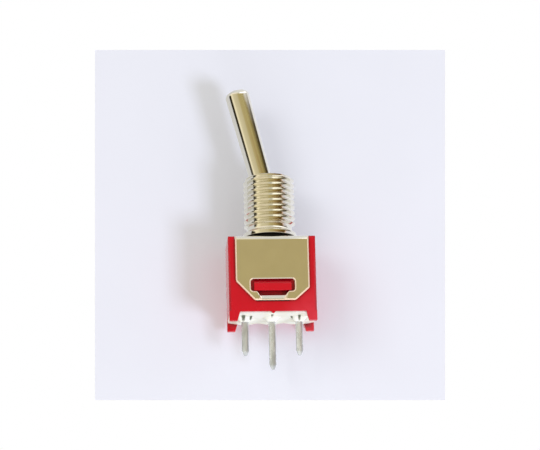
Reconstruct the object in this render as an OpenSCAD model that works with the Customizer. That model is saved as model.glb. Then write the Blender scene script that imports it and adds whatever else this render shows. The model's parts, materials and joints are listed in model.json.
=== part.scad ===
// Sub-miniature single-pole toggle switch with a threaded bushing and solder pins.
// Origin: on the bushing's axis, at the top face of the metal frame.
// +Z runs up the bushing, X along the row of pins and the lever's swing.
// The lever stands at its left stop, with its tip towards -X.

/* [Case] */
// Width of the case across the row of pins
case_w = 8.2; // [7.6:0.1:10]
// Depth of the case
case_d = 5.08; // [4.8:0.02:6.4]
// Height of the case from its top to its lower rim
case_h = 7.23; // [7:0.01:8.6]
// Thickness of the front and back walls
face_wall = 0.55; // [0.45:0.05:0.7]
// Width of the cheek beside the frame, at each side
cheek_w = 0.66; // [0.4:0.02:1]
// Thickness of the thin lower rim round the sealing well
rim_wall = 0.3; // [0.2:0.05:0.4]
// Radius of the upright corners
corner_r = 0.22; // [0.1:0.02:0.4]
// Height of the stand-off feet below the rim
foot_h = 0.88; // [0.5:0.02:1.4]
// Width of a foot where it leaves the rim
foot_root_w = 1.02; // [0.8:0.02:1.3]
// Width of a foot at its sole
foot_sole_w = 0.76; // [0.5:0.02:0.8]
// Height of the thin rim's own part of the well
rim_h = 0.7; // [0.5:0.05:0.8]
// Thickness of the floor under the contacts
floor_t = 0.6; // [0.4:0.05:0.8]
// Thickness of the wall behind a latch pocket
pocket_wall = 0.35; // [0.25:0.05:0.5]
// Reach of a latch lug past the case's face
lug_reach = 0.32; // [0.2:0.02:0.4]
// Height of the ramp on a latch lug
lug_ramp = 0.42; // [0.3:0.02:0.6]
// Gap between a latch lug and each end of its window
lug_inset = 0.3; // [0.2:0.05:0.5]
// Diameter of the moulding gate's stub on the front rim
gate_d = 0.36; // [0.2:0.02:0.5]
// Rise of the sealing resin below the rim
resin_bulge = 0.2; // [0.1:0.02:0.3]
// Width of the slope round that rise
resin_slope = 0.35; // [0.2:0.05:0.5]
// Height that the resin climbs each pin
resin_climb = 0.2; // [0.1:0.02:0.3]
// Reach of the climbing resin past a pin's side, at its lower end
climb_low = 0.13; // [0.1:0.01:0.2]
// Reach of the climbing resin past a pin's side, where it leaves the surface
climb_high = 0.46; // [0.3:0.02:0.6]

/* [Frame] */
// Thickness of the frame's sheet
sheet_t = 0.3; // [0.2:0.02:0.36]
// Height of the case's rim below the ends of the frame's two legs
leg_rise = 0.98; // [0.8:0.02:1.4]
// Outer radius of its two bends
bend_r = 0.48; // [0.4:0.02:0.6]
// Cut of the larger lower corner, across and up
big_cut = [1.74, 1.86];
// Cut of the smaller lower corner, across and up
small_cut = [1.32, 1.18];
// Width of the latch window in each leg
window_w = 4.1; // [3.4:0.05:4.4]
// Height of the window
window_h = 1.13; // [0.9:0.01:1.3]
// Height of the bar under the window
bar_h = 0.88; // [0.7:0.02:1.1]
// Radius of the window's corners
window_r = 0.24; // [0.1:0.02:0.4]
// Half width of the pressed-in middle of the bar under the window
press_half_w = 1.16; // [0.8:0.02:1.4]
// Length of the slope at each end of the pressed-in middle
press_slope = 0.26; // [0.15:0.01:0.4]
// Depth that the bar's upper edge is pressed in
press_in = 0.22; // [0.2:0.02:0.44]
// Fall of the bar's upper edge where it is pressed in
press_drop = 0.3; // [0.1:0.02:0.35]

/* [Bushing] */
// Outside diameter of the threaded barrel
thread_d = 4.82; // [4.6:0.02:5.6]
// Height of the bushing above the frame
bushing_h = 6.19; // [6:0.01:7.5]
// Depth of the thread, which the relief under it is cut to
thread_depth = 0.31; // [0.25:0.01:0.4]
// Height at which the thread starts
thread_low = 1.36; // [1.2:0.02:1.8]
// Wall between the thread's root and the ball's seat
barrel_wall = 0.57; // [0.5:0.01:0.7]
// Reach of the shoulder past the thread
shoulder_reach = 0.09; // [0.05:0.01:0.3]
// Underside of the shoulder above the frame
shoulder_low = 0.41; // [0.3:0.01:0.5]
// Thickness of the shoulder's rim
shoulder_t = 0.32; // [0.2:0.02:0.4]
// Length of the straight bore below the ball's middle
seat_run = 1.2; // [1:0.05:1.4]
// Wall of the neck that passes through the frame
neck_wall = 0.26; // [0.2:0.02:0.4]
// Least wall of the neck at the corners of the cross pin's slots
slot_wall = 0.12; // [0.1:0.02:0.2]
// Reach of the rim staked over under the frame
stake_reach = 0.15; // [0.1:0.01:0.2]
// Height of the staked rim
stake_h = 0.2; // [0.15:0.01:0.3]
// Chamfer at the bushing's mouth
mouth_chamfer = 0.3; // [0.2:0.02:0.36]

/* [Lever] */
// Whole angle that the lever swings through
lever_throw = 28; // [20:1:30]
// Height of the lever's pivot above the frame
pivot_z = 3.25; // [3:0.05:3.5]
// Length of the lever above its pivot
lever_len = 11.95; // [9:0.05:16]
// Diameter of the lever at its tip
tip_d = 2.3; // [2:0.05:2.8]
// Diameter of the lever at the bushing's mouth
root_d = 2.08; // [1.8:0.02:2.2]
// Diameter of the neck above the ball
lever_neck_d = 1.9; // [1.6:0.02:2]
// Length of the straight neck above the bushing's throat
neck_run = 0.25; // [0.1:0.05:0.4]
// Radius of the rounded tip edge
tip_r = 0.58; // [0.3:0.02:0.8]
// Diameter of the cross pin through the ball
cross_pin_d = 0.6; // [0.4:0.05:0.7]
// Reach of the cross pin past the ball at each end
cross_pin_reach = 0.2; // [0.1:0.02:0.24]
// Length of the lower shank below the pivot
shank_len = 4.6; // [4:0.05:5]
// Diameter of the lower shank at its end
shank_d = 1.5; // [1.4:0.02:1.6]
// Diameter of the lower shank at the pivot
shank_root_d = 1.7; // [1.6:0.02:1.8]
// Diameter of the bore for the spring and plunger
spring_bore_d = 1; // [0.9:0.02:1.1]
// Length of that bore
spring_bore_len = 2.7; // [2.4:0.05:2.9]

/* [Contacts] */
// Pitch of the pins
pin_pitch = 2.54; // [2.3:0.02:2.6]
// Width of a pin
pin_w = 0.66; // [0.5:0.02:0.8]
// Thickness of a pin
pin_t = 0.4; // [0.3:0.02:0.5]
// Reach of the two outer pins below the feet
outer_pin_reach = 2.85; // [2:0.05:6]
// Reach of the middle pin below the feet
middle_pin_reach = 4.2; // [2:0.05:7]
// Length of a pin's bevelled tip
pin_bevel = 0.5; // [0.3:0.05:0.8]
// Share of a pin's width and thickness that is left at its tip
pin_tip_share = 0.4; // [0.2:0.05:0.6]
// Radius of the plunger's tip
plunger_tip_r = 0.45; // [0.35:0.01:0.5]
// Distance of the plunger's tip centre from the lever's pivot
plunger_reach = 5.45; // [5.2:0.05:5.6]
// Travel of the plunger up into the lever
plunger_travel = 0.3; // [0.2:0.05:0.4]
// Wire diameter of the plunger's spring
wire_d = 0.12; // [0.1:0.01:0.16]
// Turns of the plunger's spring
spring_turns = 5; // [4:1:8]
// Whole angle that the rocking contact turns through
rocker_throw = 18; // [14:1:20]
// Thickness of the rocking contact
rocker_t = 0.22; // [0.18:0.01:0.26]
// Width of the rocking contact
rocker_w = 1.7; // [1.4:0.05:2]
// Radius of the ridge that it rocks on
ridge_r = 0.22; // [0.18:0.01:0.26]
// Width of that ridge
ridge_w = 1.9; // [1.7:0.05:2.1]
// Height of that ridge above the floor
ridge_h = 1.6; // [1.4:0.05:1.8]
// Thickness of the ridge's foot plate
base_t = 0.3; // [0.2:0.02:0.4]
// Width of that foot plate
base_w = 1.2; // [1:0.05:1.4]
// Thickness of the ears that hang beside the ridge
ear_t = 0.18; // [0.14:0.01:0.22]
// Width of those ears
ear_w = 0.84; // [0.7:0.02:1]
// Diameter of the silver contact pads
pad_d = 0.9; // [0.7:0.02:1]
// Height of a contact pad
pad_h = 0.22; // [0.18:0.01:0.3]
// Height of the dome on a contact pad
dome_h = 0.1; // [0.06:0.01:0.14]
// Reach of the rocking contact past its pads
wing_rim = 0.05; // [0.02:0.01:0.1]
// Thickness of an outer terminal's head
head_t = 0.3; // [0.2:0.02:0.4]
// Reach of that head past its pad, along the row of pins
head_rim = 0.175; // [0.1:0.005:0.25]
// Reach of that head past its pad, across the row
head_end = 0.3; // [0.2:0.02:0.5]

/* [Fits] */
// Radial clearance of a running fit
run_gap = 0.03; // [0.02:0.005:0.05]
// Gap between contact faces that meet
touch_gap = 0.02; // [0.01:0.005:0.03]
// Gap round a piece that slips into a moulded recess
slip_gap = 0.04; // [0.02:0.01:0.08]
// Gap beside the lever and the contact at the ends of their swing
swing_gap = 0.05; // [0.03:0.01:0.1]
// Gap between the contacts and the side walls
room_gap = 0.2; // [0.1:0.02:0.3]
// Gap at each end of the pressed-in bar
press_gap = 0.1; // [0.05:0.01:0.2]
// Gap between the plunger's spring and its bore
coil_gap = 0.05; // [0.03:0.01:0.08]

/* [Hidden] */
$fn = 64;
eps = 0.01;

// Overall levels and half sizes
face_y = case_d / 2;
leg_y = face_y + sheet_t;
foot_z = -case_h - foot_h;
cavity_y = face_y - face_wall;
frame_w = case_w - 2 * cheek_w;
leg_h = case_h - leg_rise;
window_low = leg_h - bar_h;
window_top = window_low - window_h;

// Rest angle of the lever, and its rocking contact, away from upright
rest_tilt = lever_throw / 2;
rest_rock = rocker_throw / 2;

// The rocking contact: its dish clears the plunger's tip by the same gap at every angle
dish_h = ridge_r + run_gap + rocker_t;
fulcrum_z = pivot_z - plunger_reach - plunger_tip_r - touch_gap - dish_h;
lever_drop = pivot_z - fulcrum_z;
tip_x = plunger_reach * sin(rest_tilt);
tip_z = lever_drop - plunger_reach * cos(rest_tilt);
tip_run = tip_x * cos(rest_rock) - tip_z * sin(rest_rock);
tip_rise = tip_x * sin(rest_rock) + tip_z * cos(rest_rock) - (lever_drop - plunger_reach);
tip_path_r = (tip_run * tip_run + tip_rise * tip_rise) / (2 * tip_rise);
dish_r = tip_path_r + plunger_tip_r + touch_gap;
dish_half_w = tip_run + plunger_tip_r;
wing_z = dish_h + dish_r - sqrt(dish_r * dish_r - dish_half_w * dish_half_w) - rocker_t;
ear_y = ridge_w / 2 + swing_gap;

// Contact pads: a short disc under a shallow dome
dome_r = (pad_d * pad_d / 4 + dome_h * dome_h) / (2 * dome_h);
pad_centre_z = wing_z - pad_h + dome_r;
rocker_pad_x = (pin_pitch - pad_centre_z * sin(rest_rock)) / cos(rest_rock);
pad_meet_z = fulcrum_z - rocker_pad_x * sin(rest_rock) + pad_centre_z * cos(rest_rock) - dome_r;
wing_x = rocker_pad_x + pad_d / 2 + wing_rim;

// The terminals: headed pins on lands, and a ridge that stands on the floor
head_top = pad_meet_z - touch_gap - pad_h;
head_w = pad_d + 2 * head_rim;
head_d = pad_d + 2 * head_end;
land_top = head_top - head_t;
floor_top = fulcrum_z - ridge_h;
floor_low = floor_top - floor_t;
cavity_x = max(wing_x, pin_pitch + head_w / 2) + room_gap;

// The ball and its seat, in what the thread leaves of the barrel
seat_r = thread_d / 2 - thread_depth - barrel_wall;
ball_r = seat_r - run_gap;
slot_half_w = cross_pin_d / 2 + run_gap;
slot_y = ball_r + cross_pin_reach + run_gap;

// Radius that the leaning lever sweeps, at a height above or below its pivot
function swept_r(height, r) = height * tan(rest_tilt) + r / cos(rest_tilt) + swing_gap;

// The bushing's bore: a lower cone, the ball's seat, and an upper cone that starts
// where the lever's swept edge comes out of the seat
throat_start = swept_r(0, lever_neck_d / 2);
throat_up = (sqrt(seat_r * seat_r / pow(cos(rest_tilt), 2) - throat_start * throat_start)
             - throat_start * tan(rest_tilt)) * pow(cos(rest_tilt), 2);
throat_r = swept_r(throat_up, lever_neck_d / 2);
throat_z = pivot_z + throat_up;
mouth_r = swept_r(bushing_h - pivot_z, root_d / 2);
stake_low = -sheet_t - stake_h;
tail_r = swept_r(pivot_z - stake_low, shank_d / 2);
neck_d = 2 * max(swept_r(pivot_z, shank_d / 2) + neck_wall, norm([slot_half_w, slot_y]) + slot_wall);
stake_d = min(neck_d + 2 * stake_reach, 2 * (leg_y - bend_r));
relief_d = thread_d - 2 * thread_depth;
shoulder_d = thread_d + 2 * shoulder_reach;
rim_level = (bushing_h - pivot_z) / cos(rest_tilt);

// The well for the sealing resin, and the pocket under each latch lug
lug_w = window_w - 2 * lug_inset;
pocket_d = press_in + 2 * slip_gap;
pocket_low = leg_h + slip_gap;
well_x = cavity_x;
well_y = face_y - pocket_d - pocket_wall;

// A rectangle with true round corners
module round_rect(w, d, r) {
    square([w - 2 * r, d], center = true);
    square([w, d - 2 * r], center = true);
    for (x = [-1, 1], y = [-1, 1])
        translate([x * (w / 2 - r), y * (d / 2 - r)])
            circle(r);
}

// An outline in X and Z, given depth in Y about the middle
module slab_xz(depth) {
    rotate([90, 0, 0])
        linear_extrude(depth, center = true)
            children();
}

// An outline in Y and Z, given width in X about the middle
module slab_yz(width) {
    rotate([90, 0, 90])
        linear_extrude(width, center = true)
            children();
}

// An upright outline, half_y to each side and down from top, with round upper corners
module arch(half_y, top, low, r) {
    translate([-half_y, low])
        square([2 * half_y, top - r - low]);
    translate([-half_y + r, low])
        square([2 * (half_y - r), top - low]);
    for (side = [-1, 1])
        translate([side * (half_y - r), top - r])
            circle(r);
}

// Both faces: a child made for the front, and its copy turned to the back
module front_and_back() {
    for (turn = [0, 180])
        rotate([0, 0, turn])
            children();
}

// The case -------------------------------------------------------------

// One foot's outline, at the right-hand corner
module foot_outline() {
    polygon([
        [case_w / 2, -case_h + eps],
        [case_w / 2, foot_z],
        [case_w / 2 - foot_sole_w, foot_z],
        [case_w / 2 - foot_root_w, -case_h + eps]
    ]);
}

module feet() {
    for (side = [0, 1])
        mirror([side, 0, 0])
            for (face = [-1, 1])
                translate([0, face * (face_y - face_wall / 2), 0])
                    slab_xz(face_wall)
                        foot_outline();
}

// A latch lug on the front: a ramp at the top and a ledge below
module lug() {
    slab_yz(lug_w)
        polygon([
            [-face_y + eps, -window_top - slip_gap],
            [-face_y, -window_top - slip_gap],
            [-face_y - lug_reach, -window_top - lug_ramp],
            [-face_y - lug_reach, -window_low + slip_gap],
            [-face_y + eps, -window_low + slip_gap]
        ]);
}

// The pocket under a lug, which takes the pressed-in bar
module press_pocket() {
    half = press_half_w + press_slope + press_gap;
    translate([-half, -face_y - 1, -pocket_low])
        cube([2 * half, 1 + pocket_d, pocket_low - window_low + slip_gap]);
}

// The slot that a pin passes through the floor by
module pin_slot(x) {
    translate([x, 0, (floor_low + land_top) / 2])
        cube([pin_w + 2 * slip_gap, pin_t + 2 * slip_gap, land_top - floor_low + 2], center = true);
}

// The room for the contacts, with a land at each end for an outer terminal
module contact_room() {
    land_x = pin_pitch - head_w / 2 - slip_gap;
    translate([-cavity_x, -cavity_y, land_top])
        cube([2 * cavity_x, 2 * cavity_y, 1 - land_top]);
    translate([-land_x, -cavity_y, floor_top])
        cube([2 * land_x, 2 * cavity_y, 1 - floor_top]);
}

module sealing_well() {
    translate([0, 0, -case_h - 1])
        linear_extrude(1 + case_h + floor_low)
            round_rect(2 * well_x, 2 * well_y, corner_r);
    translate([0, 0, -case_h - 1])
        linear_extrude(1 + rim_h)
            round_rect(case_w - 2 * rim_wall, case_d - 2 * rim_wall, corner_r);
}

module case_shell() {
    intersection() {
        translate([0, 0, -case_h])
            linear_extrude(case_h)
                round_rect(case_w, case_d, corner_r);
        slab_yz(case_w)
            arch(face_y, 0, -case_h, corner_r);
    }
}

module case() {
    color("firebrick") {
        difference() {
            case_shell();
            // the bed that the frame's top lies in, between the two cheeks
            slab_yz(frame_w + 2 * slip_gap)
                difference() {
                    translate([-case_d, -sheet_t - corner_r])
                        square([2 * case_d, sheet_t + corner_r + 1]);
                    arch(face_y, -sheet_t, -case_h, corner_r);
                }
            contact_room();
            // relief for the bushing's staked rim
            translate([0, 0, stake_low - swing_gap])
                cylinder(h = 1, d = stake_d + 2 * swing_gap);
            sealing_well();
            for (x = [-pin_pitch, 0, pin_pitch])
                pin_slot(x);
            front_and_back()
                press_pocket();
        }
        feet();
        front_and_back()
            lug();
        // the moulding gate's stub, on the front rim
        translate([0, -face_y + rim_wall / 2, -case_h])
            slab_xz(rim_wall)
                circle(d = gate_d);
    }
}

// The frame ------------------------------------------------------------

module leg_corner_cuts() {
    slab_xz(2 * case_d)
        union() {
            polygon([
                [-frame_w / 2 - 1, -leg_h - 1],
                [-frame_w / 2 - 1, -leg_h + big_cut[1] + big_cut[1] / big_cut[0]],
                [-frame_w / 2 + big_cut[0] + big_cut[0] / big_cut[1], -leg_h - 1]
            ]);
            polygon([
                [frame_w / 2 + 1, -leg_h - 1],
                [frame_w / 2 + 1, -leg_h + small_cut[1] + small_cut[1] / small_cut[0]],
                [frame_w / 2 - small_cut[0] - small_cut[0] / small_cut[1], -leg_h - 1]
            ]);
        }
}

module latch_window() {
    height = window_low - window_top;
    translate([0, -face_y, -(window_top + window_low) / 2])
        slab_xz(4 * sheet_t)
            round_rect(window_w, height, window_r);
}

// A thin slice of the bar under the window; press is 0 where it lies flat and 1 in the middle
module bar_slice(x, press) {
    top = -window_low - press * press_drop;
    translate([x, 0, 0])
        slab_yz(2 * eps)
            polygon([
                [-leg_y, -leg_h],
                [-leg_y + press * press_in, top],
                [-face_y + press * press_in, top],
                [-face_y, -leg_h]
            ]);
}

// The pressed-in middle of the bar, with a slope at each end
module pressed_bar() {
    flat_x = press_half_w + press_slope;
    hull() {
        bar_slice(-press_half_w, 1);
        bar_slice(press_half_w, 1);
    }
    for (side = [-1, 1])
        hull() {
            bar_slice(side * press_half_w, 1);
            bar_slice(side * flat_x, 0);
        }
}

module frame_leg_cuts() {
    flat_x = press_half_w + press_slope;
    leg_corner_cuts();
    latch_window();
    // room for the pressed-in bar, made again in its bent form
    translate([-flat_x, -leg_y - 1, -leg_h - 1])
        cube([2 * flat_x, 2 * sheet_t + 1, leg_h + 1 - window_low + eps]);
}

module frame() {
    color("tan") {
        difference() {
            slab_yz(frame_w)
                difference() {
                    arch(leg_y, 0, -leg_h, bend_r);
                    arch(face_y, -sheet_t, -leg_h - 1, bend_r - sheet_t);
                }
            cylinder(h = 4, d = neck_d, center = true);
            // the front leg's cuts reach only the front, and the back leg's only the back
            front_and_back()
                intersection() {
                    frame_leg_cuts();
                    translate([-case_w, -2 * case_d, -2 * case_h])
                        cube([2 * case_w, 2 * case_d, 2 * case_h - bend_r]);
                }
        }
        front_and_back()
            pressed_bar();
    }
}

// The bushing ----------------------------------------------------------

// The bushing's outer profile: staked rim, neck, shoulder, hollow flare, relief and barrel
module bushing_profile() {
    flare = (shoulder_d - relief_d) / 2;
    shoulder_top = shoulder_low + shoulder_t;
    polygon([
        [0, stake_low],
        [stake_d / 2, stake_low],
        [stake_d / 2, -sheet_t],
        [neck_d / 2, -sheet_t],
        [neck_d / 2, shoulder_low],
        [shoulder_d / 2, shoulder_low],
        [shoulder_d / 2, shoulder_top],
        [relief_d / 2, shoulder_top],
        [relief_d / 2, thread_low],
        [thread_d / 2, thread_low],
        [thread_d / 2, bushing_h - mouth_chamfer],
        [thread_d / 2 - mouth_chamfer, bushing_h],
        [0, bushing_h]
    ]);
    difference() {
        translate([0, shoulder_top - eps])
            square([shoulder_d / 2, flare + eps]);
        translate([shoulder_d / 2, shoulder_top + flare])
            circle(flare);
    }
}

// Its bore: the shank's cone, a straight run, the ball's seat and the lever's cone
module bore_profile() {
    intersection() {
        translate([0, pivot_z])
            circle(seat_r);
        translate([0, pivot_z - eps])
            square([2 * seat_r, throat_up + eps]);
    }
    polygon([
        [0, stake_low - 1],
        [tail_r, stake_low - 1],
        [tail_r, stake_low],
        [seat_r, pivot_z - seat_run],
        [seat_r, pivot_z],
        [0, pivot_z]
    ]);
    polygon([
        [0, throat_z - eps],
        [throat_r, throat_z - eps],
        [throat_r, throat_z],
        [mouth_r, bushing_h],
        [mouth_r, bushing_h + 1],
        [0, bushing_h + 1]
    ]);
}

// Two upright slots that keep the cross pin, and so the lever, from turning
module cross_pin_slots() {
    translate([-slot_half_w, -slot_y, stake_low - 1])
        cube([2 * slot_half_w, 2 * slot_y, pivot_z - stake_low + 1]);
    translate([0, 0, pivot_z])
        rotate([90, 0, 0])
            cylinder(h = 2 * slot_y, r = slot_half_w, center = true);
}

module bushing() {
    color("darkkhaki")
        difference() {
            rotate_extrude()
                difference() {
                    bushing_profile();
                    bore_profile();
                }
            cross_pin_slots();
        }
}

// The lever and what it carries ----------------------------------------

// Stands its children on the lever's axis, leaning at its left stop
module on_lever() {
    translate([0, 0, pivot_z])
        rotate([0, -rest_tilt, 0])
            children();
}

module lever_outline() {
    corner_z = lever_len - tip_r;
    // the tapered handle, up to where its edge starts to round
    polygon([
        [0, 0],
        [lever_neck_d / 2, 0],
        [lever_neck_d / 2, throat_up + neck_run],
        [root_d / 2, rim_level],
        [tip_d / 2, corner_z],
        [0, corner_z]
    ]);
    // the rounded tip
    intersection() {
        union() {
            translate([tip_d / 2 - tip_r, corner_z])
                circle(tip_r);
            translate([0, corner_z - eps])
                square([tip_d / 2 - tip_r, tip_r + eps]);
        }
        translate([0, corner_z - eps])
            square([tip_d, tip_r + 1]);
    }
}

module lever() {
    color("silver")
        on_lever()
            difference() {
                union() {
                    rotate_extrude()
                        lever_outline();
                    sphere(r = ball_r);
                    translate([0, 0, -shank_len])
                        cylinder(h = shank_len, d1 = shank_d, d2 = shank_root_d);
                }
                rotate([90, 0, 0])
                    cylinder(h = 3 * ball_r, d = cross_pin_d, center = true);
                translate([0, 0, -shank_len - eps])
                    cylinder(h = spring_bore_len + eps, d = spring_bore_d);
            }
}

module cross_pin() {
    color("dimgray")
        on_lever()
            rotate([90, 0, 0])
                cylinder(h = 2 * (ball_r + cross_pin_reach), d = cross_pin_d, center = true);
}

// The plunger: a stem in the lever's bore, with a round tip that rides the rocking contact
module plunger() {
    stem_top = shank_len - spring_bore_len / 2;
    color("ivory")
        on_lever()
            union() {
                translate([0, 0, -plunger_reach])
                    cylinder(h = plunger_reach - stem_top, r = plunger_tip_r);
                translate([0, 0, -plunger_reach])
                    sphere(r = plunger_tip_r);
            }
}

// The plunger's spring: a coil swept from rings that follow its helix
module plunger_spring() {
    steps = 14;
    sides = 6;
    coil_r = spring_bore_d / 2 - coil_gap - wire_d / 2;
    low = -(shank_len - spring_bore_len / 2) + wire_d / 2 + touch_gap;
    high = -(shank_len - spring_bore_len) - wire_d / 2 - touch_gap;
    count = spring_turns * steps;
    rings = [for (i = [0 : count]) let (turn = 360 * i / steps, z = low + (high - low) * i / count)
        [for (k = [0 : sides - 1]) let (a = 360 * k / sides, r = coil_r + wire_d / 2 * cos(a))
            [r * cos(turn), r * sin(turn), z + wire_d / 2 * sin(a)]]];
    walls = [for (i = [0 : count - 1], k = [0 : sides - 1]) let (next = (k + 1) % sides)
        [i * sides + k, i * sides + next, (i + 1) * sides + next, (i + 1) * sides + k]];
    ends = [
        [for (k = [sides - 1 : -1 : 0]) k],
        [for (k = [0 : sides - 1]) count * sides + k]
    ];
    color("slategray")
        on_lever()
            polyhedron([for (ring = rings) each ring], concat(walls, ends));
}

// The rocking contact --------------------------------------------------

// Stands its children on the ridge's axis, rocked to the side that is pressed down
module on_ridge() {
    translate([0, 0, fulcrum_z])
        rotate([0, rest_rock, 0])
            children();
}

module rocker_outline() {
    dish_centre = dish_h + dish_r;
    difference() {
        union() {
            // the dish that the plunger's tip runs in
            intersection() {
                translate([0, dish_centre])
                    difference() {
                        circle(dish_r + rocker_t, $fn = 180);
                        circle(dish_r, $fn = 180);
                    }
                translate([-dish_half_w, 0])
                    square([2 * dish_half_w, dish_h + dish_r]);
            }
            // the wings that carry the pads
            for (side = [0, 1])
                mirror([side, 0])
                    translate([dish_half_w - eps, wing_z])
                        square([wing_x - dish_half_w + eps, rocker_t]);
            // the saddle over the ridge
            translate([-ear_w / 2, 0])
                square([ear_w, dish_h - rocker_t / 2]);
        }
        circle(ridge_r + run_gap);
    }
}

module rocking_contact() {
    color("goldenrod")
        on_ridge() {
            slab_xz(rocker_w)
                rocker_outline();
            // two ears that hang beside the ridge and keep the contact in line
            for (side = [-1, 1]) {
                translate([0, side * (rocker_w / 2 + ear_y + ear_t) / 2, dish_h - rocker_t / 2])
                    cube([ear_w, ear_y + ear_t - rocker_w / 2 + eps, rocker_t], center = true);
                translate([0, side * (ear_y + ear_t / 2), 0])
                    cube([ear_w, ear_t, 2 * dish_h], center = true);
            }
        }
}

// A contact pad, standing on its flat face with its dome up
module contact_pad() {
    intersection() {
        cylinder(h = pad_h, d = pad_d);
        translate([0, 0, pad_h - dome_r])
            sphere(r = dome_r);
    }
}

module rocker_pad(side) {
    color("gainsboro")
        on_ridge()
            translate([side * rocker_pad_x, 0, wing_z])
                rotate([180, 0, 0])
                    contact_pad();
}

module rocker_pad_left() {
    rocker_pad(-1);
}

module rocker_pad_right() {
    rocker_pad(1);
}

// The terminals --------------------------------------------------------

// A flat pin from top down to low, with a bevelled tip
module pin(top, low) {
    shaft_low = low + pin_bevel;
    translate([-pin_w / 2, -pin_t / 2, shaft_low])
        cube([pin_w, pin_t, top - shaft_low]);
    intersection() {
        slab_xz(pin_t)
            polygon([
                [-pin_w / 2, shaft_low],
                [pin_w / 2, shaft_low],
                [pin_w * pin_tip_share / 2, low],
                [-pin_w * pin_tip_share / 2, low]
            ]);
        slab_yz(pin_w)
            polygon([
                [-pin_t / 2, shaft_low],
                [pin_t / 2, shaft_low],
                [pin_t * pin_tip_share / 2, low],
                [-pin_t * pin_tip_share / 2, low]
            ]);
    }
}

// An outer terminal: a headed pin whose head lies on its land
module outer_terminal(side) {
    color("lightgray")
        translate([side * pin_pitch, 0, 0]) {
            pin(land_top + eps, foot_z - outer_pin_reach);
            translate([-head_w / 2, -head_d / 2, land_top])
                cube([head_w, head_d, head_t]);
        }
}

module left_terminal() {
    outer_terminal(-1);
}

module right_terminal() {
    outer_terminal(1);
}

// The middle terminal: a foot plate on the floor and an upright ridge
module middle_terminal() {
    color("lightgray") {
        pin(floor_top + eps, foot_z - middle_pin_reach);
        translate([-base_w / 2, -ridge_w / 2, floor_top])
            cube([base_w, ridge_w, base_t]);
        translate([-ridge_r, -ridge_w / 2, floor_top])
            cube([2 * ridge_r, ridge_w, ridge_h]);
        translate([0, 0, fulcrum_z])
            rotate([90, 0, 0])
                cylinder(h = ridge_w, r = ridge_r, center = true);
    }
}

module fixed_pad(side) {
    color("gainsboro")
        translate([side * pin_pitch, 0, head_top])
            contact_pad();
}

module fixed_pad_left() {
    fixed_pad(-1);
}

module fixed_pad_right() {
    fixed_pad(1);
}

// The resin that seals the pins in the well ------------------------------

module sealing_resin() {
    color("ivory")
        difference() {
            union() {
                translate([0, 0, -case_h])
                    linear_extrude(case_h + floor_low)
                        round_rect(2 * well_x, 2 * well_y, corner_r);
                translate([0, 0, -case_h])
                    linear_extrude(rim_h)
                        round_rect(case_w - 2 * rim_wall, case_d - 2 * rim_wall, corner_r);
                // the surface stands a little proud of the rim
                hull()
                    for (level = [0, 1])
                        translate([0, 0, -case_h - level * resin_bulge - (1 - level) * eps])
                            linear_extrude(eps)
                                round_rect(case_w - 2 * (rim_wall + level * resin_slope),
                                           case_d - 2 * (rim_wall + level * resin_slope),
                                           corner_r, $fn = 24);
                // it climbs each pin
                for (x = [-pin_pitch, 0, pin_pitch])
                    translate([x, 0, -case_h - resin_bulge - resin_climb])
                        cylinder(h = resin_climb + eps, r1 = pin_w / 2 + climb_low,
                                 r2 = pin_w / 2 + climb_high);
            }
            for (x = [-pin_pitch, 0, pin_pitch])
                translate([x, 0, 0])
                    cube([pin_w, pin_t, 4 * case_h], center = true);
            // clear of the feet's inner faces
            feet();
        }
}

case();
frame();
bushing();
lever();
cross_pin();
plunger_spring();
plunger();
rocking_contact();
rocker_pad_left();
rocker_pad_right();
left_terminal();
middle_terminal();
right_terminal();
fixed_pad_left();
fixed_pad_right();
sealing_resin();
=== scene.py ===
"""Looks of a sub-miniature toggle switch: turned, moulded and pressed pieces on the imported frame."""
import json
import math

import bmesh
import bpy
from mathutils import Matrix, Vector


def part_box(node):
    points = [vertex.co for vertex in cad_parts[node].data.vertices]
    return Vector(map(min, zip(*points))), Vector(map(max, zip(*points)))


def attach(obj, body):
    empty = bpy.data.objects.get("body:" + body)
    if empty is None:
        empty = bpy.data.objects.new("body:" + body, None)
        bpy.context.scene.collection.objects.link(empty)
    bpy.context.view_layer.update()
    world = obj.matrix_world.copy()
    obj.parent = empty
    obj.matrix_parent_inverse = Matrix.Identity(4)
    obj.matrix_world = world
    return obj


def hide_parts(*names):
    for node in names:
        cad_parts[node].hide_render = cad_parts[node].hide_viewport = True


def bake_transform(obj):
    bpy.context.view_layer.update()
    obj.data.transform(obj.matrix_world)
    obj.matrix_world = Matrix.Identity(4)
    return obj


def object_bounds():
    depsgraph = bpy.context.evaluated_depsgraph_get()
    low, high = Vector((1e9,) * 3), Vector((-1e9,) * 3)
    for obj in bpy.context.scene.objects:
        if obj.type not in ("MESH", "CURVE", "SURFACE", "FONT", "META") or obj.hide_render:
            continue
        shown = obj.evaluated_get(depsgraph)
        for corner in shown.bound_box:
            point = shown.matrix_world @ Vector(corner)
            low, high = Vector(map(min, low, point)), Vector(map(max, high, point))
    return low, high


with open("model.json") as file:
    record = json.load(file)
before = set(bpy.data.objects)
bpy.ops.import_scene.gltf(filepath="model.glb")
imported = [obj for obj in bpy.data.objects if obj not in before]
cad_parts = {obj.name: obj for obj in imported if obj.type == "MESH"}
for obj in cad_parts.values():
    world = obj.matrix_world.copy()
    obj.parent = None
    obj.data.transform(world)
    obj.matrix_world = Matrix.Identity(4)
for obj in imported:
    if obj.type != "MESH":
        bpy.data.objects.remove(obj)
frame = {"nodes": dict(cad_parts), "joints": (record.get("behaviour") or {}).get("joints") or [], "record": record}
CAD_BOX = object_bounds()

bl_info = {
    "name": "Toggle switch",
    "version": (1, 0, 0),
    "blender": (4, 5, 0),
    "location": "3D View > Sidebar > Switch",
    "description": "Builds a sub-miniature toggle switch and its studio on a packed CAD frame",
    "category": "Object",
}

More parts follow.
